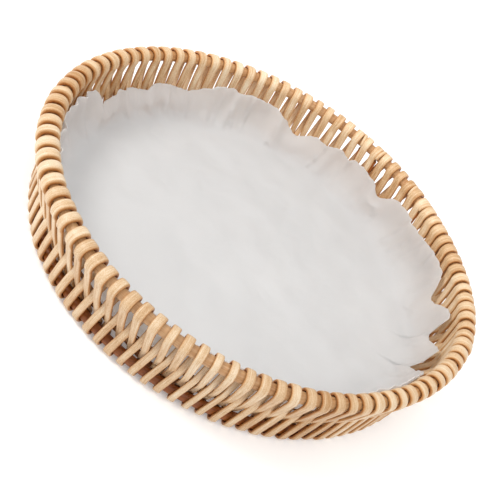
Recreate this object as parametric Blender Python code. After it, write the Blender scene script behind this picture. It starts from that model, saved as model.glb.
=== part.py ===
"""Woven proofing basket (banneton) with its loose cloth liner.

Two round hoops, rim and base, are held apart by willow rods wound in a figure of eight:
over the rim, down the outside, through the wall, under the base hoop and back up. The base
is a cross of ten sticks with rings of weavers, and the cloth liner is laid inside.
Metres, +Z up. The origin is on the floor at the middle, and the long axis is along X.
"""

import math

import bmesh
import bpy
from mathutils import Vector

MM = 0.001

# Hoops
RIM_RADIUS = 125.0 * MM  # to the middle of the rim hoop's rod
RIM_HEIGHT = 42.8 * MM
RIM_ROD = 2.8 * MM  # radius of the hoop's own rod
BASE_RADIUS = 115.6 * MM
BASE_ROD = 2.5 * MM
OVAL = 0.018  # a hand-woven hoop is never quite round: long along X by this share
HOOP_STEPS = 72
HOOP_SIDES = 6

# Figure-of-eight winding
TURNS = 96
TURNS_PER_ROD = 4
ROD_THICKNESS = 2.2 * MM
ROD_WIDTH = 3.9 * MM
CROSSING_WIDTH = 2.2 * MM
CROSSING_THICKNESS = 2.0 * MM
GAP = 0.5 * MM  # between the winding and the hoop it goes round
ROD_END_GAP = 0.4 * MM  # from a rod's end to the middle of the butt between two rods
ARC_STEPS = 4
FIRST_TURN = math.radians(-22.2)
DRIFT_ONCE = math.radians(3.24)  # the maker's spacing runs a little wide, then a little tight
DRIFT_TWICE = math.radians(1.47)
OUTSIDE_SHIFT = 0.20  # of one turn, down the upper leg outside
INSIDE_SHIFT = 0.07  # down the lower leg inside
RETURN_SHIFT = -0.30  # where the strand crosses on its way up, before the rim

# Base
STICKS_EACH_WAY = 5
STICK_SPACING = 4.6 * MM
STICK_FAN = math.radians(18.0)
STICK_BLOCK = 14.0 * MM  # half the square where the two sets of sticks cross
STICK_FANNED = 30.0 * MM  # radius where the sticks have spread to even angles
STICK_SLYPE = 99.0 * MM  # radius where a stick starts to thin to its point
STICK_WIDTH = 3.8 * MM
STICK_THICKNESS = 3.6 * MM
POINT_WIDTH = 1.5 * MM
POINT_THICKNESS = 2.0 * MM
BASE_LEVEL = 5.6 * MM
WEAVERS = 8
WEAVER_FIRST = 37.0 * MM
WEAVER_SPACING = 8.8 * MM
WEAVER_WIDTH = 4.0 * MM
WEAVER_THICKNESS = 1.9 * MM
CLEAR = 0.3 * MM

# Liner
LINER_THICKNESS = 1.2 * MM
LINER_FLOOR = 10.6 * MM
LINER_FLOOR_RADIUS = 105.5 * MM
LINER_KNEE = 17.0 * MM  # height where the cloth has turned up from the floor
LINER_KNEE_RADIUS = 112.5 * MM
LINER_WAIST = 26.0 * MM  # height where the wall stops leaning outwards
LINER_WAIST_RADIUS = 117.0 * MM
LINER_EDGE = 34.0 * MM  # mean height of the cloth's edge
LINER_EDGE_TILT = 6.0 * MM  # the cloth lies lower on one side of the basket
LINER_LOW_SIDE = math.radians(51.7)
LINER_STEPS = 48


def material(name, colour, roughness):
    made = bpy.data.materials.new(name)
    made.use_nodes = True
    shader = made.node_tree.nodes["Principled BSDF"]
    shader.inputs["Base Color"].default_value = (*colour, 1.0)
    shader.inputs["Roughness"].default_value = roughness
    shader.inputs["Metallic"].default_value = 0.0
    return made


def add_object(name, bm, finish, smooth_angle=math.radians(50)):
    bmesh.ops.recalc_face_normals(bm, faces=bm.faces)
    mesh = bpy.data.meshes.new(name)
    bm.to_mesh(mesh)
    bm.free()
    mesh.materials.append(finish)
    mesh.shade_smooth()
    mesh.set_sharp_from_angle(angle=smooth_angle)
    made = bpy.data.objects.new(name, mesh)
    bpy.context.scene.collection.objects.link(made)
    return made


def oval_shift(angle):
    """How far every ring of the basket bulges outwards at this angle."""
    return RIM_RADIUS * OVAL * math.cos(2 * angle)


def wall_point(radius, height, angle):
    grown = radius + oval_shift(angle)
    return Vector((grown * math.cos(angle), grown * math.sin(angle), height))


def outward(angle):
    return Vector((math.cos(angle), math.sin(angle), 0.0))


def along(angle):
    return Vector((-math.sin(angle), math.cos(angle), 0.0))


def sweep(sections, closed):
    """A closed skin over sections, each a list of the same number of corners."""
    bm = bmesh.new()
    rings = [[bm.verts.new(corner) for corner in section] for section in sections]
    pairs = list(zip(rings, rings[1:]))
    if closed:
        pairs.append((rings[-1], rings[0]))
    for one, two in pairs:
        for i in range(len(one)):
            j = (i + 1) % len(one)
            bm.faces.new((one[i], one[j], two[j], two[i]))
    if not closed:
        bm.faces.new(rings[0])
        bm.faces.new(rings[-1])
    return bm


def rectangle(centre, across, width, through, thickness):
    a = across * (width / 2)
    t = through * (thickness / 2)
    return [centre - a - t, centre + a - t, centre + a + t, centre - a + t]


def hoop(name, radius, height, rod_radius, finish):
    sections = []
    for step in range(HOOP_STEPS):
        angle = math.tau * step / HOOP_STEPS
        centre = wall_point(radius, height, angle)
        section = []
        for side in range(HOOP_SIDES):
            turn = math.tau * (side + 0.5) / HOOP_SIDES
            offset = outward(angle) * math.cos(turn) + Vector((0, 0, math.sin(turn)))
            section.append(centre + offset * rod_radius)
        sections.append(section)
    return add_object(name, sweep(sections, closed=True), finish)


def turn_angle(turn):
    """Where a turn of the winding sits round the basket. Turns count from 0, in fractions."""
    even = math.tau * turn / TURNS
    return FIRST_TURN + even - DRIFT_ONCE * math.sin(even) + DRIFT_TWICE * math.cos(2 * even)


# The winding's middle line keeps this far from the middle of each hoop.
RIM_WIND = RIM_ROD + GAP + ROD_THICKNESS / 2
BASE_WIND = BASE_ROD + GAP + ROD_THICKNESS / 2
FLAT_HALF = math.radians(24.0)  # half of the flat stretch that a turn stands on


def base_height(arc_factor):
    return BASE_WIND * arc_factor * math.cos(FLAT_HALF) + ROD_THICKNESS / 2


def crossed_tangents(rim, base):
    """Angles where the crossed legs leave each hoop, seen in a cut through the wall."""
    apart = math.hypot(base[0] - rim[0], base[1] - rim[1])
    down = math.atan2(base[1] - rim[1], base[0] - rim[0])
    spread = math.acos((RIM_WIND + BASE_WIND) / apart)
    return down + spread, down - spread


def winding_section():
    """One turn as (radius, height, shift in turns, through direction, width, thickness)."""
    arc = math.radians(213.0)
    factor = 1 / math.cos(arc / ARC_STEPS / 2)
    low = base_height(factor)
    rim = (RIM_RADIUS, RIM_HEIGHT)
    base = (BASE_RADIUS, low)
    leave_out, leave_in = crossed_tangents(rim, base)
    leave_in += math.tau if leave_in < leave_out else 0.0
    middle = tuple(
        r + (b - r) * RIM_WIND / (RIM_WIND + BASE_WIND) for r, b in zip(rim, base)
    )
    points = []

    def add(centre, reach, angle, shift, width, thickness, mitre):
        through = (math.cos(angle), math.sin(angle))
        points.append((
            centre[0] + reach * through[0], centre[1] + reach * through[1],
            shift, through, width, thickness * mitre,
        ))

    add(middle, 0.0, leave_in, RETURN_SHIFT, CROSSING_WIDTH, CROSSING_THICKNESS, 1.0)
    for step in range(ARC_STEPS + 1):
        angle = leave_in + (leave_out - leave_in) * step / ARC_STEPS
        inner = 0 < step < ARC_STEPS
        reach = RIM_WIND * (factor if inner else 1.0)
        add(rim, reach, angle, 0.0, ROD_WIDTH, ROD_THICKNESS, factor if inner else 1.0)
    add(middle, 0.0, leave_out, OUTSIDE_SHIFT, CROSSING_WIDTH, CROSSING_THICKNESS, 1.0)
    shift = OUTSIDE_SHIFT + INSIDE_SHIFT
    under = 1.5 * math.pi
    enter = leave_out + math.pi
    leave = leave_in + math.pi
    stops = [enter, (enter + under - FLAT_HALF) / 2, under - FLAT_HALF, under + FLAT_HALF, leave]
    for step, angle in enumerate(stops):
        inner = 0 < step < len(stops) - 1
        mitre = 1 / math.cos(FLAT_HALF) if inner else 1.0
        reach = BASE_WIND * (factor if inner else 1.0)
        add(base, reach, angle, shift, ROD_WIDTH, ROD_THICKNESS, mitre)
    return points, low


TURN_SHAPE, BASE_HEIGHT = winding_section()


def wall_rod(name, first_turn, finish):
    """One rod, wound for a few turns. It starts and ends where the legs cross in the wall."""
    stations = []
    for turn in range(first_turn, first_turn + TURNS_PER_ROD):
        for radius, height, shift, through, width, thickness in TURN_SHAPE:
            stations.append((radius, height, turn + shift, through, width, thickness))
    radius, height, shift, through, width, thickness = TURN_SHAPE[0]
    last = first_turn + TURNS_PER_ROD + shift
    stations.append((radius, height, last, through, width, thickness))
    placed = []
    for radius, height, turn, through, width, thickness in stations:
        angle = turn_angle(turn)
        centre = wall_point(radius, height, angle)
        thick = outward(angle) * through[0] + Vector((0, 0, through[1]))
        placed.append([centre, along(angle), width, thick, thickness])
    for end, inner in ((0, 1), (-1, -2)):
        step = (placed[inner][0] - placed[end][0]).normalized()
        placed[end][0] = placed[end][0] + step * ROD_END_GAP
    # On the way down the crossing leg's thickness is turned back to face the same way.
    sections = []
    facing = 1.0
    for i, (centre, across, width, thick, thickness) in enumerate(placed):
        if sections:
            before = placed[i - 1]
            facing *= 1.0 if before[3].dot(thick) > 0 else -1.0
        sections.append(rectangle(centre, across, width, thick * facing, thickness))
    return add_object(name, sweep(sections, closed=False), finish)


def gap_angle(wanted):
    """The middle of the gap between two turns at the base that lies nearest to an angle."""
    shift = OUTSIDE_SHIFT + INSIDE_SHIFT + 0.5
    angles = [turn_angle(turn + shift) for turn in range(TURNS)]
    return min(angles, key=lambda a: abs(math.remainder(a - wanted, math.tau)))


def base_stick(name, number, crosswise, finish):
    """A stick of the base cross, with both ends thinned and pushed between the windings."""
    place = number - (STICKS_EACH_WAY - 1) / 2
    turned = math.pi / 2 if crosswise else 0.0
    level = BASE_LEVEL + (1 if crosswise else -1) * (STICK_THICKNESS + CLEAR) / 2
    reach = BASE_RADIUS - BASE_ROD - 2 * CLEAR
    line = []
    for end in (-1, 1):
        fan = turned + place * STICK_FAN * end + (math.pi if end < 0 else 0.0)
        tip = gap_angle(fan)
        straight = outward(turned) * STICK_BLOCK * end + along(turned) * STICK_SPACING * place
        half = [
            (straight + Vector((0, 0, level)), STICK_WIDTH, STICK_THICKNESS),
            (wall_point(STICK_FANNED, BASE_LEVEL, fan), STICK_WIDTH, STICK_THICKNESS),
            (wall_point(STICK_SLYPE, BASE_LEVEL, tip), STICK_WIDTH, STICK_THICKNESS),
            (wall_point(reach, BASE_LEVEL, tip), POINT_WIDTH, POINT_THICKNESS),
        ]
        line = line + half if end > 0 else half[::-1]
    sections = []
    for i, (centre, width, thickness) in enumerate(line):
        before = line[max(i - 1, 0)][0]
        after = line[min(i + 1, len(line) - 1)][0]
        run = (after - before).normalized()
        side = Vector((0, 0, 1)).cross(run).normalized()
        sections.append(rectangle(centre, side, width, Vector((0, 0, 1)), thickness))
    return add_object(name, sweep(sections, closed=False), finish)


def stick_angles(radius):
    """Where the sticks pass this radius, in order round the base."""
    angles = []
    for half_turn in (0.0, math.pi):
        for turned in (0.0, math.pi / 2):
            for number in range(STICKS_EACH_WAY):
                place = number - (STICKS_EACH_WAY - 1) / 2
                fan = turned + half_turn + place * STICK_FAN
                share = (radius - STICK_FANNED) / (STICK_SLYPE - STICK_FANNED)
                angles.append(fan + share * math.remainder(gap_angle(fan) - fan, math.tau))
    return sorted(math.remainder(a, math.tau) for a in angles)


def weaver(name, radius, first_over, finish):
    """A ring woven over one stick and under the next."""
    rise = (STICK_THICKNESS + WEAVER_THICKNESS) / 2 + CLEAR
    hold = (STICK_WIDTH / 2 + CLEAR) / radius
    sections = []
    for i, angle in enumerate(stick_angles(radius)):
        side = 1 if (i % 2 == 0) == first_over else -1
        for edge in (-hold, hold):
            centre = wall_point(radius, BASE_LEVEL + side * rise, angle + edge)
            out = outward(angle + edge)
            up = Vector((0, 0, 1))
            sections.append(rectangle(centre, out, WEAVER_WIDTH, up, WEAVER_THICKNESS))
    return add_object(name, sweep(sections, closed=True), finish)


def liner_edge(angle):
    return LINER_EDGE - LINER_EDGE_TILT * math.cos(angle - LINER_LOW_SIDE)


def liner(finish):
    """The cloth, as a thin bowl: floor, leaning side and an edge that lies lower on one side."""

    def ring(bm, radius, height_of):
        made = []
        for step in range(LINER_STEPS):
            angle = math.tau * step / LINER_STEPS
            made.append(bm.verts.new(wall_point(radius, height_of(angle), angle)))
        return made

    bm = bmesh.new()
    levels = [
        (LINER_FLOOR_RADIUS, lambda angle: LINER_FLOOR),
        (LINER_KNEE_RADIUS, lambda angle: LINER_KNEE),
        (LINER_WAIST_RADIUS, lambda angle: LINER_WAIST),
        (LINER_WAIST_RADIUS, liner_edge),
    ]
    rings = [ring(bm, radius, height_of) for radius, height_of in levels]
    for radius, height_of in reversed(levels[1:]):
        rings.append(ring(bm, radius - LINER_THICKNESS, height_of))
    inner_floor = LINER_FLOOR + LINER_THICKNESS
    rings.append(ring(bm, LINER_FLOOR_RADIUS - LINER_THICKNESS, lambda angle: inner_floor))
    for one, two in zip(rings, rings[1:]):
        for i in range(LINER_STEPS):
            j = (i + 1) % LINER_STEPS
            bm.faces.new((one[i], one[j], two[j], two[i]))
    bm.faces.new(rings[0])
    bm.faces.new(rings[-1])
    return add_object("liner", bm, finish, smooth_angle=math.radians(30))


def main():
    for old in list(bpy.data.objects):
        bpy.data.objects.remove(old, do_unlink=True)
    hoop_finish = material("hoop_willow", (0.52, 0.29, 0.13), 0.55)
    rod_finish = material("peeled_willow", (0.60, 0.40, 0.22), 0.5)
    base_finish = material("base_willow", (0.50, 0.31, 0.16), 0.6)
    cloth_finish = material("natural_cloth", (0.78, 0.76, 0.73), 0.95)
    hoop("rim_hoop", RIM_RADIUS, RIM_HEIGHT, RIM_ROD, hoop_finish)
    hoop("base_hoop", BASE_RADIUS, BASE_HEIGHT, BASE_ROD, hoop_finish)
    for number in range(TURNS // TURNS_PER_ROD):
        wall_rod(f"wall_rod_{number + 1:02d}", number * TURNS_PER_ROD, rod_finish)
    for number in range(STICKS_EACH_WAY):
        base_stick(f"base_stick_long_{number + 1}", number, False, base_finish)
        base_stick(f"base_stick_cross_{number + 1}", number, True, base_finish)
    for number in range(WEAVERS):
        radius = WEAVER_FIRST + number * WEAVER_SPACING
        weaver(f"base_weaver_{number + 1}", radius, number % 2 == 0, base_finish)
    liner(cloth_finish)


main()
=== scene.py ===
"""Looks for the woven proofing basket: willow winding, hoops, woven base and cloth liner.

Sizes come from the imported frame. The winding's spacing repeats the part's own rule, so each
strand here lies where its plain rod lies, apart from the bends in HAND_BENT.
"""

import math
import random

import bpy
import numpy as np
from mathutils import Matrix, Vector, noise


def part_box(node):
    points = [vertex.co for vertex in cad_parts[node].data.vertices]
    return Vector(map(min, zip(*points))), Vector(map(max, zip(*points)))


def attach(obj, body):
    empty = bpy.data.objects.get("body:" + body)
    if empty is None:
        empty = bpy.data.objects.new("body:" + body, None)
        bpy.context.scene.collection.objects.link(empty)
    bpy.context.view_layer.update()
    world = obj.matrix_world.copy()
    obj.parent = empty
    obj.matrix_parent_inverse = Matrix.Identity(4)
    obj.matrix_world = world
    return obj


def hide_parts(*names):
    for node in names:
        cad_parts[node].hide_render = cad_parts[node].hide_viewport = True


MM = 0.001
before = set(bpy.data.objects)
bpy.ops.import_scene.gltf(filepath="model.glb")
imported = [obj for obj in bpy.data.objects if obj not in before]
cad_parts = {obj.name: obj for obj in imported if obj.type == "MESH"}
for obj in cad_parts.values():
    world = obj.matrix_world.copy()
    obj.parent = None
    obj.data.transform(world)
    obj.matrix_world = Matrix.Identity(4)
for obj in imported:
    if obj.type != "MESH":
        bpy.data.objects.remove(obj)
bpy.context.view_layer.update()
rng = random.Random(11)

# ---------------------------------------------------------------- sizes read from the frame
rim_low, rim_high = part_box("rim_hoop")
base_low, base_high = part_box("base_hoop")
HOOP_SWELL = 0.25 * MM  # the real hoops fill the gap the plain rods keep to the winding
RIM_ROD = (rim_high.z - rim_low.z) / 2 + HOOP_SWELL
RIM_HEIGHT = (rim_high.z + rim_low.z) / 2
RIM_RADIUS = (rim_high.x + rim_high.y) / 2 - RIM_ROD + HOOP_SWELL
BULGE = (rim_high.x - rim_high.y) / 2
BASE_ROD = (base_high.z - base_low.z) / 2 + HOOP_SWELL
BASE_HEIGHT = (base_high.z + base_low.z) / 2
BASE_RADIUS = (base_high.x + base_high.y) / 2 - BASE_ROD + HOOP_SWELL
FLOOR_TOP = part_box("liner")[0].z

# ---------------------------------------------------------------- winding
TURNS = 96
TURNS_PER_ROD = 4
FIRST_TURN = math.radians(-22.2)
DRIFT_ONCE = math.radians(3.24)
DRIFT_TWICE = math.radians(1.47)
OUTSIDE_SHIFT = 0.20  # shifts along the hoops are in turns
BASE_SHIFT = 0.27
RETURN_SHIFT = 0.70
RIM_LEAN = 0.03
BASE_LEAN = 0.02
STRAND_WIDTH = 5.25 * MM
STRAND_THICKNESS = 1.95 * MM
RIM_WIDTHS = (0.95, 1.0)  # shares of the width, at the ends and the middle of an arc
BASE_WIDTHS = (0.74, 0.84)
OUTSIDE_WIDTHS = (0.92, 0.66, 0.72)  # the same at the start, middle and end of a leg
RETURN_WIDTHS = (0.76, 0.70, 0.95)
WIDTH_FALL = 0.6  # the power by which a leg's width falls from its ends to its middle
LEG_THICKNESS = 0.9  # a share of the thickness
SLACK = 0.2 * MM
ARC_CORNER = 0.05  # how square a strand sits on a hoop
BOW = 1.3 * MM
STRAND_SQUARE = 0.58  # power of a cross-section's outline: 1 is an ellipse, 0 a rectangle
ARC_SAMPLES = 18
LEG_SAMPLES = 16
STRAND_SIDES = 20
JOINT_DOWN = 0.8  # how far down a leg one rod ends and the next begins

# ---------------------------------------------------------------- what the weaver's hand varies
FULL_SIDE = math.radians(166)  # the strands are stoutest here and opposite
STOUT_MEAN = 1.06
STOUT_SWING = 0.08
LEG_FULLNESS = 0.16
SLIM_PLACE = 225  # the strands are slimmest here; places and spreads are in degrees
SLIM_SPREAD = 22
SLIM_BY = 0.10
NEAR_SIDE = math.radians(232)  # the side nearest the camera: the willow is darker here as painted shade, and the cloth lies closer here
# how much painted shade darkens the willow on that side
NEAR_SIDE_SHADE = 0.11
HAND_BENT = ((330, 2.3, 13), (8, -1.3, 9))  # out of round: angle, mm outwards, spread in degrees
SPLICE_PLACE = 178  # the rim's rod overlaps itself here
SPLICE_SPREAD = 24
SPLICE_SIZE = 0.9 * MM
ROD_WIDTHS = (0.93, 1.09)
ROD_TAPER = (1.05, 0.03)  # a rod's width on its first turn, and how much less on each later one
TURN_WIDTHS = (0.88, 1.10)
ROD_TINT = 0.16
TURN_TINT = 0.17
TURN_LEAN = 0.05
TURN_SLIP = 0.035
TURN_PROUD = (-0.15, 0.45)  # mm
SWELL = 0.10
PUFF = 0.3 * MM
SMOOTHING = 6  # stations each way over which width and tint run together


def turn_angle(turn):
    even = math.tau * turn / TURNS
    return FIRST_TURN + even - DRIFT_ONCE * math.sin(even) + DRIFT_TWICE * math.cos(2 * even)


def away_from(angle, place):
    """Degrees from a place given in degrees round the basket, from -180 to 180."""
    return math.degrees(math.remainder(angle - math.radians(place), math.tau))


def out_shift(angle):
    """How far the basket is out of round, outwards."""
    shift = BULGE * math.cos(2 * angle)
    for place, size, spread in HAND_BENT:
        shift += size * MM * math.exp(-0.5 * (away_from(angle, place) / spread) ** 2)
    return shift


def stoutness(angle):
    """How stout the strands are, as a share of their full size."""
    slim = SLIM_BY * math.exp(-(away_from(angle, SLIM_PLACE) / SLIM_SPREAD) ** 2)
    return STOUT_MEAN + STOUT_SWING * math.cos(2 * (angle - FULL_SIDE)) - slim


def wall_point(radius, height, angle):
    """A point of the basket, whose radius is the one it would have if it were round."""
    grown = radius + out_shift(angle)
    return Vector((grown * math.cos(angle), grown * math.sin(angle), height))


def outward(angle):
    return Vector((math.cos(angle), math.sin(angle), 0.0))


# ---------------------------------------------------------------- materials
PEELED_WILLOW = ((0.49, 0.25, 0.09), (0.76, 0.52, 0.30), (0.94, 0.78, 0.57))  # dark, mid, light
HOOP_WILLOW = ((0.44, 0.22, 0.09), (0.66, 0.41, 0.21), (0.80, 0.58, 0.36))
BASE_WILLOW = ((0.46, 0.25, 0.11), (0.64, 0.42, 0.24), (0.80, 0.62, 0.42))
PAINTED_CREVICE_SHADE = (  # painted shade that multiplies the willow's colour, from open strand to deep crevice
    (0.02, (1.0, 1.0, 1.0)), (0.16, (0.93, 0.82, 0.69)), (0.42, (0.78, 0.51, 0.27)),
    (0.75, (0.52, 0.23, 0.06)), (1.0, (0.42, 0.16, 0.03)),
)
GRAIN = (45.0, 11.0, 1.0)  # noise cells in a metre along the strand, and once round it
FIBRE = (110.0, 46.0, 1.0)
GRAIN_WEIGHT = 1.4
FIBRE_WEIGHT = 1.0
PATCH_WEIGHT = 0.9
TINT_ZERO = 1.60
CLOTH_COLOURS = ((0.3, (0.805, 0.815, 0.82)), (0.7, (0.85, 0.86, 0.865)))
CLOTH_THREAD = 0.62 * MM
CLOTH_GLOW = (1.0, 0.96, 0.93, 1.0)
CLOTH_THIN = 0.38  # the share of light that goes through
CLOTH_THIN_WALL = 0.14  # and how much more of it on the wall


class Shading:
    """A material with short calls for its nodes."""

    def __init__(self, name):
        self.material = bpy.data.materials.new(name)
        self.material.use_nodes = True
        self.nodes = self.material.node_tree.nodes
        self.links = self.material.node_tree.links
        self.shader = self.nodes["Principled BSDF"]

    def put(self, socket, value):
        if isinstance(value, (int, float, tuple)):
            socket.default_value = value
        else:
            self.links.new(value, socket)

    def math(self, operation, *values):
        node = self.nodes.new("ShaderNodeMath")
        node.operation = operation
        for socket, value in zip(node.inputs, values):
            self.put(socket, value)
        return node.outputs[0]

    def attribute(self, name):
        node = self.nodes.new("ShaderNodeAttribute")
        node.attribute_name = name
        return node.outputs["Fac"]

    def uv(self, name, scale=(1.0, 1.0, 1.0)):
        node = self.nodes.new("ShaderNodeUVMap")
        node.uv_map = name
        mapping = self.nodes.new("ShaderNodeMapping")
        mapping.inputs["Scale"].default_value = scale
        self.links.new(node.outputs["UV"], mapping.inputs["Vector"])
        return mapping.outputs["Vector"]

    def noise(self, vector, scale=1.0, detail=3.0, roughness=0.5):
        node = self.nodes.new("ShaderNodeTexNoise")
        node.inputs["Scale"].default_value = scale
        node.inputs["Detail"].default_value = detail
        node.inputs["Roughness"].default_value = roughness
        if vector is not None:
            self.links.new(vector, node.inputs["Vector"])
        return node.outputs["Fac"]

    def ramp(self, factor, *stops):
        node = self.nodes.new("ShaderNodeValToRGB")
        elements = node.color_ramp.elements
        while len(elements) < len(stops):
            elements.new(0.5)
        for element, (place, colour) in zip(elements, stops):
            element.position = place
            element.color = (*colour, 1.0)
        self.links.new(factor, node.inputs["Fac"])
        return node.outputs["Color"]

    def blend(self, kind, factor, first, second):
        node = self.nodes.new("ShaderNodeMix")
        node.data_type = "RGBA"
        node.blend_type = kind
        self.put(node.inputs["Factor"], factor)
        self.put(node.inputs["A"], first)
        self.put(node.inputs["B"], second)
        return node.outputs["Result"]

    def bump(self, height, distance, strength):
        node = self.nodes.new("ShaderNodeBump")
        node.inputs["Distance"].default_value = distance
        node.inputs["Strength"].default_value = strength
        self.links.new(height, node.inputs["Height"])
        self.links.new(node.outputs["Normal"], self.shader.inputs["Normal"])


def willow(name, dark, mid, light):
    """Willow: a tint for each turn, grain along the strand, painted shade on the sides of strands
    and where they touch, and painted shade darker towards the near side.
    """
    made = Shading(name)
    grain = made.noise(made.uv("strand", GRAIN), detail=4.0, roughness=0.6)
    fibre = made.noise(made.uv("strand", FIBRE), detail=2.0)
    patch = made.noise(None, scale=70.0, detail=2.0)
    mixed = made.math("MULTIPLY_ADD", grain, GRAIN_WEIGHT, made.attribute("tint"))
    mixed = made.math("MULTIPLY_ADD", fibre, FIBRE_WEIGHT, mixed)
    mixed = made.math("MULTIPLY_ADD", patch, PATCH_WEIGHT, mixed)
    mixed = made.math("SUBTRACT", mixed, TINT_ZERO)
    colour = made.ramp(mixed, (0.0, dark), (0.5, mid), (1.0, light))
    # painted crevice shade, multiplied into the willow's colour
    crevice_shade = made.ramp(made.attribute("shade"), *PAINTED_CREVICE_SHADE)
    colour = made.blend("MULTIPLY", 1.0, colour, crevice_shade)
    # painted shade: the willow darker towards the near side
    colour = made.blend("MULTIPLY", 1.0, colour, made.attribute("side_shade"))
    made.put(made.shader.inputs["Base Color"], colour)
    made.shader.inputs["Roughness"].default_value = 0.40
    made.shader.inputs["Specular IOR Level"].default_value = 0.42
    made.bump(made.math("ADD", fibre, made.math("MULTIPLY", grain, 0.6)), 0.3 * MM, 0.4)
    return made.material


def cloth_material():
    """Undyed plain weave with slubs, rumpled and creased, and thin enough to let light through."""
    made = Shading("natural_cloth")
    uv = made.uv("cloth")
    split = made.nodes.new("ShaderNodeSeparateXYZ")
    made.links.new(uv, split.inputs["Vector"])
    thread = math.tau / CLOTH_THREAD
    warp = made.math("SINE", made.math("MULTIPLY", split.outputs["X"], thread))
    weft = made.math("SINE", made.math("MULTIPLY", split.outputs["Y"], thread))
    slub = made.noise(uv, scale=300.0, detail=4.0)
    crease = made.noise(uv, scale=22.0, detail=5.0, roughness=0.55)
    crease = made.math("ABSOLUTE", made.math("SUBTRACT", crease, 0.5))
    crease = made.math("POWER", made.math("SUBTRACT", 1.0, crease), 24.0)
    rumple = made.noise(uv, scale=70.0, detail=6.0, roughness=0.6)
    weave = made.math("MULTIPLY", made.math("MULTIPLY", warp, weft), 0.6)
    height = made.math("MULTIPLY_ADD", slub, 0.6, weave)
    height = made.math("MULTIPLY_ADD", rumple, 5.0, height)
    height = made.math("MULTIPLY_ADD", crease, 1.2, height)
    made.bump(height, 0.3 * MM, 0.5)
    cloud = made.noise(uv, scale=16.0, detail=6.0)
    made.put(made.shader.inputs["Base Color"], made.ramp(cloud, *CLOTH_COLOURS))
    made.shader.inputs["Roughness"].default_value = 0.95
    made.shader.inputs["Specular IOR Level"].default_value = 0.15
    made.shader.inputs["Sheen Weight"].default_value = 0.1
    through = made.nodes.new("ShaderNodeBsdfTranslucent")
    through.inputs["Color"].default_value = CLOTH_GLOW
    both = made.nodes.new("ShaderNodeMixShader")
    thin = made.math("MULTIPLY_ADD", made.attribute("wall"), CLOTH_THIN_WALL, CLOTH_THIN)
    made.put(both.inputs["Fac"], thin)
    made.links.new(made.shader.outputs["BSDF"], both.inputs[1])
    made.links.new(through.outputs["BSDF"], both.inputs[2])
    made.links.new(both.outputs["Shader"], made.nodes["Material Output"].inputs["Surface"])
    return made.material


# ---------------------------------------------------------------- mesh helpers
def mesh_object(name, points, faces, finish, corner_uvs=None, uv_name="strand", values=None):
    """A smooth mesh, with a UV for each face's corner and numbers for each point."""
    mesh = bpy.data.meshes.new(name)
    mesh.from_pydata([tuple(p) for p in points], [], faces)
    mesh.materials.append(finish)
    mesh.shade_smooth()
    if corner_uvs is not None:
        layer = mesh.uv_layers.new(name=uv_name)
        layer.data.foreach_set("uv", np.array(corner_uvs, np.float32).ravel())
    for key, numbers in (values or {}).items():
        attribute = mesh.attributes.new(key, "FLOAT", "POINT")
        attribute.data.foreach_set("value", np.array(numbers, np.float32))
    made = bpy.data.objects.new(name, mesh)
    bpy.context.scene.collection.objects.link(made)
    return made


class Station:
    """One cross-section of a rod: its middle, its flat side's direction and its size.

    Its painted crevice shade is least on the side that seen points to, on both sides where both is
    set, and recess adds painted shade to it all round.
    """

    def __init__(self, centre, through, width, thickness, tint, seen=None, recess_shade=0.0,
                 both=False):
        self.centre = centre
        self.through = through
        self.width = width
        self.thickness = thickness
        self.tint = tint
        self.seen = seen
        self.recess_shade = recess_shade
        self.both = both


def tube(name, stations, finish, body="basket", closed=False, sides=STRAND_SIDES,
         square=STRAND_SQUARE):
    """Skin over the stations, with grain coordinates, tint, painted shade darker towards the near
    side and painted crevice shade.
    """
    count = len(stations)
    points, tints, side_shades, shades, runs = [], [], [], [], [0.0]
    for i, station in enumerate(stations):
        before = stations[(i - 1) % count if closed else max(i - 1, 0)].centre
        after = stations[(i + 1) % count if closed else min(i + 1, count - 1)].centre
        path = (after - before).normalized()
        across = path.cross(station.through).normalized()
        normal = across.cross(path).normalized()
        if i:
            runs.append(runs[-1] + (station.centre - stations[i - 1].centre).length)
        for side in range(sides):
            turn = math.tau * (side + 0.5) / sides
            c, s = math.cos(turn), math.sin(turn)
            a = station.width / 2 * math.copysign(abs(c) ** square, c)
            t = station.thickness / 2 * math.copysign(abs(s) ** square, s)
            points.append(station.centre + across * a + normal * t)
            tints.append(station.tint)
            angle = math.atan2(station.centre.y, station.centre.x)
            # painted shade, darker towards the near side
            side_shades.append(1.0 - NEAR_SIDE_SHADE * (1 + math.cos(angle - NEAR_SIDE)))
            # painted shade: darker on faces turned from seen and on the edges, plus recess all
            # round
            facing = across * c * 0.8 + normal * s
            open_side = facing.dot(station.seen) if station.seen is not None else 1.0
            if station.both:
                open_side = abs(open_side)
            shades.append(0.5 - 0.5 * open_side + station.recess_shade)
    runs.append(runs[-1] + (stations[0].centre - stations[-1].centre).length)
    faces, corner_uvs = [], []
    for i in range(count if closed else count - 1):
        j = (i + 1) % count
        for side in range(sides):
            k = (side + 1) % sides
            faces.append((i * sides + side, i * sides + k, j * sides + k, j * sides + side))
            low, high = side / sides, (side + 1) / sides
            corner_uvs += [(runs[i], low), (runs[i], high)]
            corner_uvs += [(runs[i + 1], high), (runs[i + 1], low)]
    if not closed:
        for ring, order in ((0, range(sides - 1, -1, -1)), (count - 1, range(sides))):
            faces.append(tuple(ring * sides + side for side in order))
            corner_uvs += [(runs[ring], side / sides) for side in order]
    made = mesh_object(name, points, faces, finish, corner_uvs,
                       values={"tint": tints, "side_shade": side_shades, "shade": shades})
    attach(made, body)
    return made


# ---------------------------------------------------------------- the winding
def plane(vector):
    """A vector of the wall's section, outwards and up."""
    return np.array(vector, float)


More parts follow.
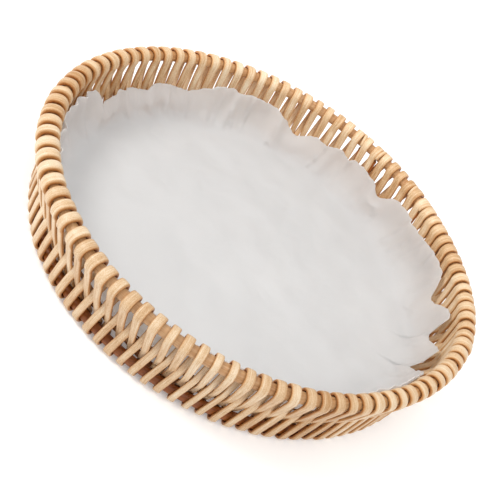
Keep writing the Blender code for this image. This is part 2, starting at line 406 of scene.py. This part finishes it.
def turn_path():
    """One turn of the winding in the wall's section, a figure of eight: over the rim hoop from
    the inside, down to the inside of the base hoop, under it, and up to the inside of the rim.

    Each entry is (place, shift along the hoops, through, width share, thickness share, is a leg).
    """
    rim_wind = RIM_ROD + STRAND_THICKNESS / 2 + SLACK
    base_wind = BASE_ROD + STRAND_THICKNESS / 2 + SLACK
    rim = plane((RIM_RADIUS, RIM_HEIGHT))
    base = plane((BASE_RADIUS, BASE_HEIGHT))
    apart = np.linalg.norm(base - rim)
    down = math.atan2(base[1] - rim[1], base[0] - rim[0])
    spread = math.acos((rim_wind + base_wind) / apart)
    leave_out = down + spread
    leave_in = down - spread + math.tau
    out_dir = plane((math.cos(leave_out), math.sin(leave_out)))
    in_dir = plane((math.cos(leave_in), math.sin(leave_in)))
    path = []

    def arc(centre, reach, start, stop, shifts, widths):
        middle = (start + stop) / 2
        for i in range(ARC_SAMPLES + 1):
            share = i / ARC_SAMPLES
            angle = start + (stop - start) * share
            direction = plane((math.cos(angle), math.sin(angle)))
            corner = 0.5 - 0.5 * math.cos(4 * (angle - middle))
            shift = shifts[0] + (shifts[1] - shifts[0]) * share
            width = widths[0] + (widths[1] - widths[0]) * math.sin(math.pi * share)
            place = centre + direction * reach * (1 + ARC_CORNER * corner)
            path.append((place, shift, direction, width, 1.0, False))

    def leg(start, stop, through, shifts, widths):
        for i in range(1, LEG_SAMPLES):
            share = i / LEG_SAMPLES
            bow = through * BOW * math.sin(math.pi * share)
            place = start * (1 - share) + stop * share + bow
            half = min(share, 1 - share) * 2
            side = 0 if share < 0.5 else 2
            shift = shifts[1] + (shifts[side] - shifts[1]) * (1 - half)
            width = widths[1] + (widths[side] - widths[1]) * (1 - half) ** WIDTH_FALL
            path.append((place, shift, through, width, LEG_THICKNESS, True))

    on_base = (BASE_SHIFT - BASE_LEAN, BASE_SHIFT + BASE_LEAN)
    arc(rim, rim_wind, leave_in, leave_out, (-RIM_LEAN, RIM_LEAN), RIM_WIDTHS)
    leg(rim + out_dir * rim_wind, base - out_dir * base_wind, out_dir,
        (RIM_LEAN, OUTSIDE_SHIFT, on_base[0]), OUTSIDE_WIDTHS)
    arc(base, base_wind, leave_out + math.pi, leave_in + math.pi, on_base, BASE_WIDTHS)
    leg(base - in_dir * base_wind, rim + in_dir * rim_wind, -in_dir,
        (on_base[1], RETURN_SHIFT, 1 - RIM_LEAN), RETURN_WIDTHS)
    return path


def winding_stations():
    """Stations of the whole winding, turn after turn, each a little unlike its neighbours."""
    path = turn_path()
    stations = []
    for turn in range(TURNS):
        in_rod = turn % TURNS_PER_ROD
        if in_rod == 0:
            rod_width = rng.uniform(*ROD_WIDTHS)
            rod_tint = rng.uniform(-ROD_TINT, ROD_TINT)
        taper = ROD_TAPER[0] - ROD_TAPER[1] * in_rod
        width = STRAND_WIDTH * rod_width * taper * rng.uniform(*TURN_WIDTHS)
        tint = 0.5 + rod_tint + rng.uniform(-TURN_TINT, TURN_TINT)
        lean = rng.uniform(-TURN_LEAN, TURN_LEAN)
        slip = rng.uniform(-TURN_SLIP, TURN_SLIP)
        proud = rng.uniform(*TURN_PROUD) * MM
        for i, (place, shift, through, width_share, thick_share, leg) in enumerate(path):
            share = i / len(path)
            angle = turn_angle(turn + shift + slip + lean * math.sin(math.tau * share))
            wobble = Vector((turn * 3.7, i * 0.13, 0.5))
            swell = 1.0 + SWELL * noise.noise(wobble)
            puff = PUFF * noise.noise(wobble * 0.8) + proud * math.sin(math.pi * share) ** 2
            place = place + plane(through) * puff
            stout = stoutness(angle)
            thickness = STRAND_THICKNESS * thick_share * stout
            if leg:
                stout *= 1 + LEG_FULLNESS * max(0.0, math.cos(2 * (angle - FULL_SIDE)))
            elif place[1] > RIM_HEIGHT / 2:
                away = away_from(angle, SPLICE_PLACE) / SPLICE_SPREAD
                splice = SPLICE_SIZE * math.exp(-0.5 * away ** 2)
                thickness += splice
                place = place + plane(through) * splice / 2
            side = outward(angle) * through[0] + Vector((0, 0, through[1]))
            # side also places the painted shade: darker against the hoops on arcs, darker at the
            # edges on legs
            stations.append(Station(wall_point(place[0], place[1], angle), side,
                                    width * width_share * swell * stout, thickness, tint, side,
                                    both=leg))
    kernel = np.hanning(2 * SMOOTHING + 1)
    kernel /= kernel.sum()
    for key in ("width", "tint"):
        row = np.array([getattr(s, key) for s in stations])
        row = np.convolve(np.pad(row, SMOOTHING, "wrap"), kernel, "valid")
        for station, value in zip(stations, row):
            setattr(station, key, float(value))
    for i in range(1, len(stations)):
        if stations[i].through.dot(stations[i - 1].through) < 0:
            stations[i].through = -stations[i].through
    return stations, len(path)


def wind_wall(finish):
    """The winding, cut into rods where the liner hides the joints: inside, low down."""
    stations, per_turn = winding_stations()
    total = len(stations)
    joint = ARC_SAMPLES + 1 + int(LEG_SAMPLES * JOINT_DOWN)
    for number in range(1, TURNS // TURNS_PER_ROD + 1):
        start = (number - 1) * TURNS_PER_ROD * per_turn + joint - per_turn
        row = [stations[i % total] for i in range(start, start + TURNS_PER_ROD * per_turn)]
        made = tube(f"strand_{number:02d}", row, finish)
        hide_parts(f"wall_rod_{number:02d}")


ROD_TAILS = ((42, 0.9), (36, -0.5), (20, 0.9), (14, -0.6))  # angle, and slant in turns
TAIL_WIDTH = 2.4 * MM
TAIL_THICKNESS = 1.5 * MM
TAIL_TINT = 0.45
TAIL_PROUD = 0.25 * MM
TAIL_INSIDE = 10  # stations of the path that a tail follows before the rim's arc, and after it
TAIL_OUTSIDE = 7


def rod_tail(name, place, slant, finish):
    """The thin end of a rod, tucked in as one extra turn over the rim beside a full one."""
    turn = min(range(TURNS), key=lambda t: abs(away_from(turn_angle(t), place)))
    path = turn_path()
    part = [(spot, shift - 1, through) for spot, shift, through, *_ in path[-TAIL_INSIDE:]]
    part += [(spot, shift, through)
             for spot, shift, through, *_ in path[:ARC_SAMPLES + 1 + TAIL_OUTSIDE]]
    stations = []
    for i, (spot, shift, through) in enumerate(part):
        share = i / (len(part) - 1)
        angle = turn_angle(turn + 0.5 + shift + slant * (share - 0.5))
        spot = spot + plane(through) * TAIL_PROUD
        side = outward(angle) * through[0] + Vector((0, 0, through[1]))
        taper = 0.7 + 0.3 * math.sin(math.pi * share)
        # side also places the painted shade, darker on the face against the hoop
        stations.append(Station(wall_point(spot[0], spot[1], angle), side, TAIL_WIDTH * taper,
                                TAIL_THICKNESS * taper, TAIL_TINT, side))
    made = tube(name, stations, finish, sides=12, square=0.8)


HOOP_STEPS = 360
HOOP_UNEVEN = 0.05
HOOP_TINT = 0.4
RIM_RECESS = 0.20  # how much painted shade each hoop gets all round, as it lies deep in the winding
BASE_RECESS = 0.80


def hoop(name, node, radius, height, rod, seed, recess_shade, finish):
    """A round rod bent into a ring, a little uneven; seed makes each one's unevenness its own."""
    stations = []
    for step in range(HOOP_STEPS):
        angle = math.tau * step / HOOP_STEPS
        spot = outward(angle)
        swell = 1 + HOOP_UNEVEN * noise.noise(spot * 4 + Vector((0, 0, seed)))
        tint = 0.5 + HOOP_TINT * noise.noise(spot * 6 + Vector((0, 0, seed + 3)))
        # recess is painted shade all round the hoop
        stations.append(Station(wall_point(radius, height, angle), Vector((0, 0, 1)),
                                rod * 2 * swell, rod * 2 * swell, tint, recess_shade=recess_shade))
    made = tube(name, stations, finish, closed=True, square=1.0)
    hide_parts(node)


# ---------------------------------------------------------------- the woven base
STICKS_EACH_WAY = 5
STICK_SPACING = 4.6 * MM
STICK_FAN = math.radians(18.0)
STICK_BLOCK = 14.0 * MM
STICK_FANNED = 30.0 * MM
STICK_SLYPE = 99.0 * MM
STICK_WIDTH = 3.9 * MM
STICK_FLAT = 0.92  # thickness as a share of width
STICK_TAPER = 0.9
STICK_TIP = (1.5 * MM, 2.0 * MM)
STICK_GRIP = 0.1 * MM  # how far the crossed sticks press into each other
STICK_TINT = 0.15
TIP_CLEAR = 0.6 * MM
BASE_LEVEL = 5.6 * MM
WEAVER_FIRST = 37.0 * MM
WEAVER_SPACING = 8.8 * MM
WEAVERS = 8
WEAVER_WIDTH = 4.3 * MM
WEAVER_THICKNESS = 1.9 * MM
WEAVER_PRESS = 0.98  # a weaver's rise over a stick, as a share of the two lying apart
WEAVER_STEPS = 10
WEAVER_WANDER = 0.35 * MM
WEAVER_TINT = 0.18


def gap_angle(wanted):
    """The middle of the gap between two turns at the base that lies nearest to an angle."""
    angles = (turn_angle(turn + BASE_SHIFT + 0.5) for turn in range(TURNS))
    return min(angles, key=lambda a: abs(math.remainder(a - wanted, math.tau)))


def smooth_line(corners, pieces=14):
    """Points along a soft curve through the corners, with their width and thickness."""
    rows = np.array([[*place, width, thick] for place, width, thick in corners])
    rows = np.vstack([rows[0], rows, rows[-1]])
    out = []
    for a, b, c, d in zip(rows, rows[1:], rows[2:], rows[3:]):
        for i in range(pieces):
            t = i / pieces
            out.append(0.5 * (2 * b + (c - a) * t + (2 * a - 5 * b + 4 * c - d) * t ** 2
                              + (3 * b - a - 3 * c + d) * t ** 3))
    out.append(rows[-1])
    return out


def base_stick(number, crosswise, finish):
    """A stick right across the base: straight in the middle, fanned out to a gap at each end."""
    place = number - (STICKS_EACH_WAY - 1) / 2
    turned = math.pi / 2 if crosswise else 0.0
    level = BASE_LEVEL + (1 if crosswise else -1) * (STICK_WIDTH - STICK_GRIP) / 2
    reach = BASE_RADIUS - BASE_ROD - TIP_CLEAR
    thin = STICK_WIDTH * STICK_TAPER
    side = Vector((-math.sin(turned), math.cos(turned), 0.0))
    line = []
    for end in (-1, 1):
        fan = turned + place * STICK_FAN * end + (math.pi if end < 0 else 0.0)
        tip = gap_angle(fan)
        straight = outward(turned) * STICK_BLOCK * end + side * STICK_SPACING * place
        half = [
            (straight + Vector((0, 0, level)), STICK_WIDTH, STICK_WIDTH * STICK_FLAT),
            (wall_point(STICK_FANNED, BASE_LEVEL, fan), STICK_WIDTH, STICK_WIDTH * STICK_FLAT),
            (wall_point(STICK_SLYPE, BASE_LEVEL, tip), thin, thin),
            (wall_point(reach, BASE_LEVEL, tip), *STICK_TIP),
        ]
        line = line + half if end > 0 else half[::-1]
    tint = 0.5 + rng.uniform(-STICK_TINT, STICK_TINT)
    up = Vector((0, 0, 1))
    # painted shade: the stick's underside darker than its top
    stations = [Station(Vector(row[:3]), up, row[3], row[4], tint, up * 0.6)
                for row in smooth_line(line)]
    kind = "cross" if crosswise else "long"
    made = tube(f"stick_{kind}_{number + 1}", stations, finish, sides=12, square=0.9)
    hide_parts(f"base_stick_{kind}_{number + 1}")


def stick_angles(radius):
    """Where the sticks' arms lie at a radius, going round."""
    angles = []
    for half_turn in (0.0, math.pi):
        for turned in (0.0, math.pi / 2):
            for number in range(STICKS_EACH_WAY):
                place = number - (STICKS_EACH_WAY - 1) / 2
                fan = turned + half_turn + place * STICK_FAN
                share = (radius - STICK_FANNED) / (STICK_SLYPE - STICK_FANNED)
                angles.append(fan + share * math.remainder(gap_angle(fan) - fan, math.tau))
    return sorted(math.remainder(a, math.tau) for a in angles)


def weaver_ring(name, radius, first_over, finish):
    """A ring woven over one stick and under the next, as a smooth wave between them."""
    rise = (STICK_WIDTH + WEAVER_THICKNESS) / 2 * WEAVER_PRESS
    angles = stick_angles(radius)
    tint = 0.5 + rng.uniform(-WEAVER_TINT, WEAVER_TINT)
    up = Vector((0, 0, 1))
    stations = []
    for i, angle in enumerate(angles):
        after = angles[(i + 1) % len(angles)]
        gap = math.remainder(after - angle, math.tau) % math.tau
        side = 1 if (i % 2 == 0) == first_over else -1
        for step in range(WEAVER_STEPS):
            share = step / WEAVER_STEPS
            place = angle + gap * share
            height = BASE_LEVEL + side * rise * math.cos(math.pi * share)
            wander = WEAVER_WANDER * noise.noise(outward(place) * 5 + up * radius * 900)
            # painted shade: the weaver darker on the side that lies against the sticks
            seen = up * math.copysign(0.5, height - BASE_LEVEL)
            stations.append(Station(wall_point(radius + wander, height, place), up,
                                    WEAVER_WIDTH, WEAVER_THICKNESS, tint, seen))
    return tube(name, stations, finish, closed=True, sides=10)


def weave_base(finish):
    """The sticks both ways and the rings; the part has every second ring, save the last."""
    for crosswise in (False, True):
        for number in range(STICKS_EACH_WAY):
            base_stick(number, crosswise, finish)
    for i in range(2 * WEAVERS + 1):
        radius = WEAVER_FIRST + i * WEAVER_SPACING / 2
        made = weaver_ring(f"weaver_{i + 1:02d}", radius, i % 2 == 0, finish)
        if i % 2 == 0 and i < 2 * WEAVERS:
            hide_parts(f"base_weaver_{i // 2 + 1}")


# ---------------------------------------------------------------- the liner
EDGE_MEAN = 38.0 * MM
EDGE_TILT = 3.6 * MM
EDGE_LOW_SIDE = math.radians(80)
DIPS = (  # how the edge sags or stands up: angle, height in mm, spread below and above the angle
    (27.5, -7.5, 2.2, 2.0), (36, -2.0, 3.5, 3.5), (43, -3.0, 1.2, 1.2), (51, -4.0, 2.5, 3.0),
    (60.5, -10.0, 3.5, 4.0), (101, -8.0, 5.0, 5.5), (115, -6.0, 3.0, 3.0), (121, -7.0, 3.0, 6.0),
    (134.5, -12.5, 3.0, 2.2), (152, 3.5, 6.0, 8.0), (176, 3.0, 14.0, 14.0), (300, 3.0, 9.0, 5.0),
    (357, 2.0, 3.0, 6.0), (348, -12.0, 4.0, 1.7), (334.6, -16.5, 7.0, 0.6), (321, -19.0, 6.0, 0.6),
)
PLEATS = (  # narrow folds up the wall: angle, depth, lean in degrees from knee to edge
    (66, 1.0, 3), (84, 1.3, -3), (92, 0.9, 2), (108, 1.2, 4), (114, 1.6, 5), (123, 1.4, 6),
    (129, 1.0, 2), (138, 1.5, -4), (146, 1.6, 3), (155, 1.2, -3), (163, 1.3, 2), (172, 0.9, 3),
    (14, 1.0, -3), (3, 0.8, 3), (48, 1.0, -2),
)
FOLD_DEPTH = 1.5  # mm, as are the other depths here
SMALL_FOLD_DEPTH = 1.8
CLOSE_BY = 0.9  # how much of the folds is gone where the cloth lies close
PLEAT_DEPTH = 1.7  # for a depth of 1 in PLEATS
PLEAT_SPREAD = 1.2
DENT_LEAST = 5  # a dip deeper than this dents the wall below it
DENT_FAR = 0.26  # a share of the dip, for dips up to DENT_TURN round and for those past it
DENT_NEAR = 0.06
DENT_TURN = 180
DENT_RISE = 0.70
DENT_TALL = 0.25
EDGE_CURL = 0.8
FLOOR_SWELLS = ((30, 1.2), (65, 1.0))  # how close together, and how high
FLOOR_LOWEST = -0.5
CLOTH_THICKNESS = 0.55 * MM
CLOTH_STEPS = 600
CLOTH_RINGS = 120
RING_CROWDING = 0.8
PROFILE_STEP = 0.4
PROFILE_SMOOTHING = 23  # steps each way
WALL_FROM = 100.0 * MM
CLOTH_PROFILE = (  # radius and height above the floor of the cloth's middle line
    (97.0, 0.6), (104.5, 0.6), (111.9, 7.0), (116.3, 15.6), (116.8, 25.0), (118.4, 31.0),
    (118.8, 40.0),
)


def edge_height(angle):
    """How high the cloth's edge stands at an angle."""
    height = EDGE_MEAN - EDGE_TILT * math.cos(angle - EDGE_LOW_SIDE)
    for place, rise, below, above in DIPS:
        away = away_from(angle, place)
        height += rise * MM * math.exp(-0.5 * (away / (above if away > 0 else below)) ** 2)
    spot = outward(angle)
    for waves, size in ((9, 0.8), (34, 0.7), (100, 0.45)):
        height += size * MM * noise.noise(spot * waves + Vector((0, 0, waves)))
    return height


def smooth_profile():
    """The cloth's middle line as a dense smooth row of (radius, height), and its length."""
    corners = [(0.0, 0.6), *CLOTH_PROFILE]
    dense = []
    for (r0, z0), (r1, z1) in zip(corners, corners[1:]):
        pieces = max(2, int(math.hypot(r1 - r0, z1 - z0) / PROFILE_STEP))
        dense += [(r0 + (r1 - r0) * i / pieces, z0 + (z1 - z0) * i / pieces)
                  for i in range(pieces)]
    dense = np.array(dense) * MM + (0.0, FLOOR_TOP)
    kernel = np.hanning(2 * PROFILE_SMOOTHING + 1)
    kernel /= kernel.sum()
    padded = np.pad(dense, ((PROFILE_SMOOTHING, PROFILE_SMOOTHING), (0, 0)), "edge")
    rows = np.stack([np.convolve(padded[:, i], kernel, "valid") for i in (0, 1)], axis=1)
    rows[0] = dense[0]
    run = np.concatenate([[0], np.cumsum(np.linalg.norm(np.diff(rows, axis=0), axis=1))])
    return rows, run


def ridges(spot):
    """Folds: long soft valleys between narrow ridges."""
    return (1 - abs(noise.noise(spot)) * 2) ** 2


def inward_folds(angle, rise):
    """How far folds, pleats and dents push the cloth's wall inwards, in mm."""
    spot = outward(angle)
    folds = FOLD_DEPTH * ridges(spot * 5.0 + Vector((0, 0, 8.0 + rise * 0.5)))
    folds += SMALL_FOLD_DEPTH * ridges(spot * 10.0 + Vector((0, 0, 4.0 + rise * 0.7))) ** 3
    close = CLOSE_BY * (0.5 + 0.5 * math.cos(angle - NEAR_SIDE))
    inward = min(1.0, rise * 3.0) ** 1.5 * folds * (1 - close)
    for place, deep, lean in PLEATS:
        away = away_from(angle, place + lean * (rise - 0.5)) / PLEAT_SPREAD
        inward += PLEAT_DEPTH * deep * min(1.0, rise * 2.5) * math.exp(-0.5 * away ** 2)
    for place, depth, below, above in DIPS:
        if depth < -DENT_LEAST:
            share = DENT_FAR if place < DENT_TURN else DENT_NEAR
            beside = math.exp(-0.5 * (away_from(angle, place) / (below + above)) ** 2)
            inward -= depth * share * beside * math.exp(-((rise - DENT_RISE) / DENT_TALL) ** 2)
    return inward - EDGE_CURL * rise ** 4 * noise.noise(spot * 30)


def cloth_point(angle, share, rows, run, wall_start):
    """A point of the liner, its distance from the middle along the cloth, and 1 on the wall."""
    spot = outward(angle)
    top = float(np.interp(edge_height(angle), rows[len(rows) // 2:, 1], run[len(run) // 2:]))
    s = share ** RING_CROWDING * top
    radius = float(np.interp(s, run, rows[:, 0]))
    height = float(np.interp(s, run, rows[:, 1]))
    rise = max(0.0, (s - wall_start) / (top - wall_start))
    soft = rise * rise * (3 - 2 * rise)
    lift = sum(size * noise.noise(spot * s * close) for close, size in FLOOR_SWELLS)
    lift = max(lift, FLOOR_LOWEST) * (1 - soft) * min(1.0, s / (4 * MM))
    radius -= inward_folds(angle, rise) * MM
    grown = radius + out_shift(angle) * min(1.0, radius / WALL_FROM)
    return Vector((grown * spot.x, grown * spot.y, height + lift * MM)), s, min(1.0, rise * 2)


def liner(finish):
    """The cloth, as rings of points from its middle to its edge, thickened both ways."""
    rows, run = smooth_profile()
    wall_start = float(np.interp(WALL_FROM, rows[:, 0], run))
    points, flats, walls = [Vector((0, 0, rows[0][1]))], [(0.0, 0.0)], [0.0]
    for ring in range(1, CLOTH_RINGS + 1):
        for step in range(CLOTH_STEPS):
            angle = math.tau * step / CLOTH_STEPS
            point, s, wall = cloth_point(angle, ring / CLOTH_RINGS, rows, run, wall_start)
            points.append(point)
            walls.append(wall)
            flats.append((s * math.cos(angle), s * math.sin(angle)))
    faces = []
    for step in range(CLOTH_STEPS):
        after = (step + 1) % CLOTH_STEPS
        faces.append((0, 1 + step, 1 + after))
        for ring in range(CLOTH_RINGS - 1):
            inner, outer = 1 + ring * CLOTH_STEPS, 1 + (ring + 1) * CLOTH_STEPS
            faces.append((inner + step, outer + step, outer + after, inner + after))
    corner_uvs = [flats[v] for face in faces for v in face]
    made = mesh_object("liner_cloth", points, faces, finish, corner_uvs, "cloth", {"wall": walls})
    solid = made.modifiers.new("thickness", "SOLIDIFY")
    solid.thickness = CLOTH_THICKNESS
    solid.offset = 0.0
    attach(made, "cloth_liner")
    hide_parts("liner")


# ---------------------------------------------------------------- camera, light and floor
CAMERA_TURN = math.radians(-38.3)
CAMERA_RISE = math.radians(37.04)
CAMERA_ROLL = math.radians(36.92)
CAMERA_AWAY = 646.4 * MM
CAMERA_AIM = Vector((14.74 * MM, 13.29 * MM, 0.0))
CAMERA_LENS = 80.67
LIT_POINT = Vector((0, 0, 0.03))
LIGHTS = (  # name, metres to the camera's right, towards it and up, size, watts, colour
    ("key", (-0.8, 0.25, 0.8), 0.4, 6.0, (1.0, 0.99, 0.97)),
    ("fill", (0.35, 0.5, 0.95), 0.9, 4.0, (1.0, 1.0, 1.0)),
)
WORLD_STRENGTH = 0.84
FLOOR_GREY = 0.9
FLOOR_GLOW = 0.2
FLOOR_HALF = 6.0


def camera_axes():
    """The directions from the object to the camera, and to the right as the camera sees it."""
    back = Vector((math.sin(CAMERA_TURN) * math.cos(CAMERA_RISE),
                   -math.cos(CAMERA_TURN) * math.cos(CAMERA_RISE), math.sin(CAMERA_RISE)))
    right = Vector((math.cos(CAMERA_TURN), math.sin(CAMERA_TURN), 0.0))
    return back, right


def add_camera():
    back, right = camera_axes()
    up = back.cross(right)
    rolled_right = right * math.cos(CAMERA_ROLL) + up * math.sin(CAMERA_ROLL)
    rolled_up = -right * math.sin(CAMERA_ROLL) + up * math.cos(CAMERA_ROLL)
    data = bpy.data.cameras.new("camera")
    data.lens = CAMERA_LENS
    data.sensor_width = 36.0
    data.clip_start = 0.01
    made = bpy.data.objects.new("camera", data)
    bpy.context.scene.collection.objects.link(made)
    turn = Matrix((rolled_right, rolled_up, back)).transposed()
    made.matrix_world = Matrix.Translation(CAMERA_AIM + back * CAMERA_AWAY) @ turn.to_4x4()
    bpy.context.scene.camera = made


def area_light(name, place, size, energy, colour):
    """A round light that points at LIT_POINT."""
    data = bpy.data.lights.new(name, "AREA")
    data.shape = "DISK"
    data.size = size
    data.energy = energy
    data.color = colour
    made = bpy.data.objects.new(name, data)
    made.location = place
    made.rotation_euler = (LIT_POINT - place).to_track_quat("-Z", "Y").to_euler()
    bpy.context.scene.collection.objects.link(made)


def studio():
    back, right = camera_axes()
    level = Vector((back.x, back.y, 0)).normalized()
    for name, (aside, towards, up), size, energy, colour in LIGHTS:
        place = LIT_POINT + right * aside + level * towards + Vector((0, 0, up))
        area_light(name, place, size, energy, colour)
    world = bpy.data.worlds.new("studio")
    world.use_nodes = True
    background = world.node_tree.nodes["Background"]
    background.inputs["Color"].default_value = (1, 1, 1, 1)
    background.inputs["Strength"].default_value = WORLD_STRENGTH
    bpy.context.scene.world = world
    finish = Shading("pale_floor")
    finish.shader.inputs["Base Color"].default_value = (FLOOR_GREY, FLOOR_GREY, FLOOR_GREY, 1)
    finish.shader.inputs["Roughness"].default_value = 0.9
    finish.shader.inputs["Specular IOR Level"].default_value = 0.1
    finish.shader.inputs["Emission Color"].default_value = (1, 1, 1, 1)
    finish.shader.inputs["Emission Strength"].default_value = FLOOR_GLOW
    around = ((-1, -1), (1, -1), (1, 1), (-1, 1))
    corners = [(x * FLOOR_HALF, y * FLOOR_HALF, 0) for x, y in around]
    mesh_object("floor", corners, [(0, 1, 2, 3)], finish.material)
    bpy.context.scene.view_settings.view_transform = "Standard"


def main():
    add_camera()
    peeled = willow("peeled_willow", *PEELED_WILLOW)
    wind_wall(peeled)
    for number, (place, slant) in enumerate(ROD_TAILS, 1):
        rod_tail(f"rod_tail_{number}", place, slant, peeled)
    round_rod = willow("hoop_willow", *HOOP_WILLOW)
    hoop("rim_ring", "rim_hoop", RIM_RADIUS, RIM_HEIGHT, RIM_ROD, 1.0, RIM_RECESS, round_rod)
    hoop("base_ring", "base_hoop", BASE_RADIUS, BASE_HEIGHT, BASE_ROD, 2.0, BASE_RECESS, round_rod)
    weave_base(willow("base_willow", *BASE_WILLOW))
    liner(cloth_material())
    studio()


main()
